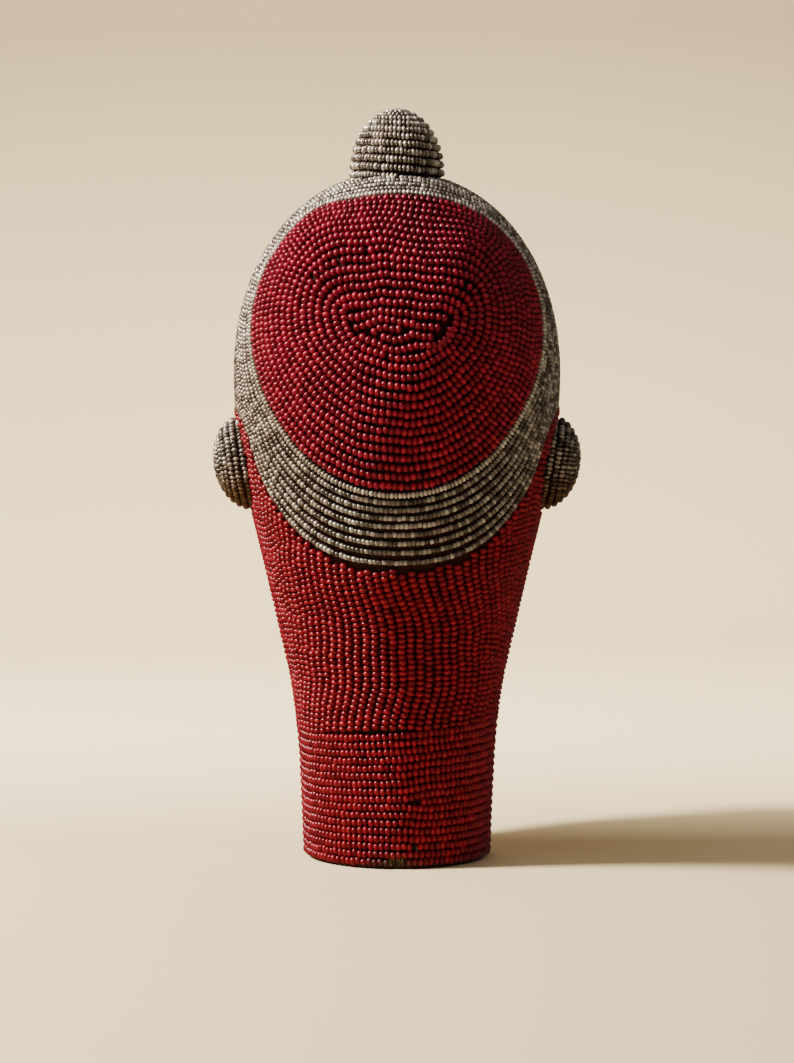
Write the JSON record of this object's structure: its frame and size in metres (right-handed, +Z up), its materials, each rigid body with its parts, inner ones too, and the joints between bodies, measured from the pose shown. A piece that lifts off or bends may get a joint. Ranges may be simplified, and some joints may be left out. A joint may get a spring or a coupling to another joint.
{
  "type": "beaded head sculpture",
  "caption": "Carved head on a round neck, covered with dark cloth and rows of red and silver glass beads, with a topknot and domed ears",
  "frame": {"origin": "centre of the foot's flat underside", "axes": "+Z up along the neck, -Y out of the back of the head with the crown panel, +Y out of the face, +X to the head's own right"},
  "size_m": [0.1606, 0.163, 0.3252],
  "materials": {
    "dark_cloth": "dull dark brown-black woven cloth, worn brown at the foot",
    "red_glass_beads": "glossy deep crimson opaque glass seed beads",
    "silver_glass_beads": "silver-lined glass seed beads, bright and partly tarnished"
  },
  "bodies": {
    "root": {"cloth_covered_head": "dark_cloth", "collar_beadwork": "red_glass_beads", "neck_and_face_beadwork": "red_glass_beads", "crown_panel_beadwork": "red_glass_beads", "hairline_band_beadwork": "silver_glass_beads", "topknot_beadwork": "silver_glass_beads", "left_ear_beadwork": "silver_glass_beads", "right_ear_beadwork": "silver_glass_beads", "left_eye_beadwork": "silver_glass_beads", "right_eye_beadwork": "silver_glass_beads"}
  },
  "joints": []
}
